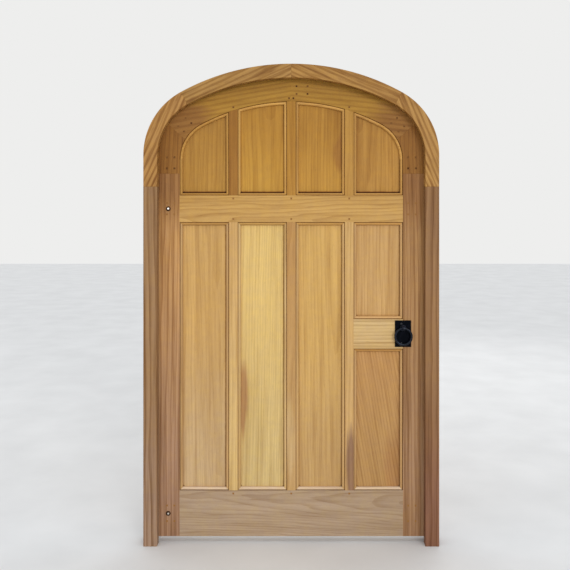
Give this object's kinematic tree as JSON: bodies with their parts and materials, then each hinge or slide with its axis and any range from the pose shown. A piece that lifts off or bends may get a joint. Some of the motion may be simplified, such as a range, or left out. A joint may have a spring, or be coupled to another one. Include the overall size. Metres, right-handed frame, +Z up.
{
  "type": "arched garden gate",
  "caption": "Arched panelled hardwood gate leaf in its own rebated frame, on band-and-hook hinges, with a ring latch, bar and catch.",
  "frame": {"origin": "on the floor, in the middle of the frame's width and of the whole depth with the hinges", "axes": "+Z up, +X to the right seen from outside, +Y inwards, the way the leaf opens"},
  "size_m": [1.222, 0.12, 1.994],
  "materials": {
    "frame_wood": "oiled",
    "frame_arch_wood": "oiled",
    "leaf_wood": "oiled",
    "leaf_arch_wood": "oiled",
    "rail_wood": "oiled",
    "panel_wood": "oiled",
    "bead_wood": "oiled",
    "peg_wood": "end grain",
    "hinge_iron": "satin black",
    "latch_iron": "satin black",
    "screw_iron": "satin black",
    "bolt_steel": "satin"
  },
  "bodies": {
    "frame": {"jamb_left": "frame_wood", "jamb_right": "frame_wood", "frame_shoulder_left": "frame_arch_wood", "frame_shoulder_right": "frame_arch_wood", "frame_head_left": "frame_arch_wood", "frame_head_right": "frame_arch_wood", "frame_pegs": "peg_wood", "hinge_hook_upper": "hinge_iron", "hinge_hook_lower": "hinge_iron", "hook_screws": "screw_iron", "latch_catch": "latch_iron", "catch_screws": "screw_iron"},
    "leaf": {"hinge_stile": "leaf_wood", "latch_stile": "leaf_wood", "leaf_shoulder_left": "leaf_arch_wood", "leaf_shoulder_right": "leaf_arch_wood", "leaf_head_left": "leaf_arch_wood", "leaf_head_right": "leaf_arch_wood", "frieze_rail": "rail_wood", "bottom_rail": "rail_wood", "lock_rail": "rail_wood", "lower_muntin_left": "leaf_wood", "lower_muntin_centre": "leaf_wood", "lower_muntin_right": "leaf_wood", "upper_muntin_left": "leaf_wood", "upper_muntin_centre": "leaf_wood", "upper_muntin_right": "leaf_wood", "panel_upper_1": "panel_wood", "panel_upper_2": "panel_wood", "panel_upper_3": "panel_wood", "panel_upper_4": "panel_wood", "panel_lower_1": "panel_wood", "panel_lower_2": "panel_wood", "panel_lower_3": "panel_wood", "panel_above_lock_rail": "panel_wood", "panel_below_lock_rail": "panel_wood", "bead_upper_1": "bead_wood", "bead_upper_2": "bead_wood", "bead_upper_3": "bead_wood", "bead_upper_4": "bead_wood", "bead_lower_1": "bead_wood", "bead_lower_2": "bead_wood", "bead_lower_3": "bead_wood", "bead_above_lock_rail": "bead_wood", "bead_below_lock_rail": "bead_wood", "leaf_pegs": "peg_wood", "hinge_band_upper": "hinge_iron", "hinge_band_lower": "hinge_iron", "band_bolts": "bolt_steel", "band_nuts": "screw_iron", "band_screws": "screw_iron", "front_plate": "latch_iron", "rear_plate": "latch_iron", "front_plate_screws": "screw_iron", "bar_guide": "latch_iron", "rear_screws": "screw_iron"},
    "latch": {"latch_spindle": "latch_iron", "latch_bar": "latch_iron", "spindle_nut": "screw_iron"},
    "ring": {"latch_ring": "latch_iron"}
  },
  "joints": [
    {"name": "gate_swing", "type": "hinge", "parent": "frame", "child": "leaf", "pos_m": [-0.564, 0.048, 1], "axis": [0, 0, 1], "range_deg": [0, 100]},
    {"name": "latch_turn", "type": "hinge", "parent": "leaf", "child": "latch", "pos_m": [0.467, 0, 0.8967], "axis": [0, -1, 0], "range_deg": [-7, 20]},
    {"name": "ring_lift", "type": "hinge", "parent": "latch", "child": "ring", "pos_m": [0.467, -0.037, 0.8967], "axis": [-1, 0, 0], "range_deg": [0, 115]}
  ]
}
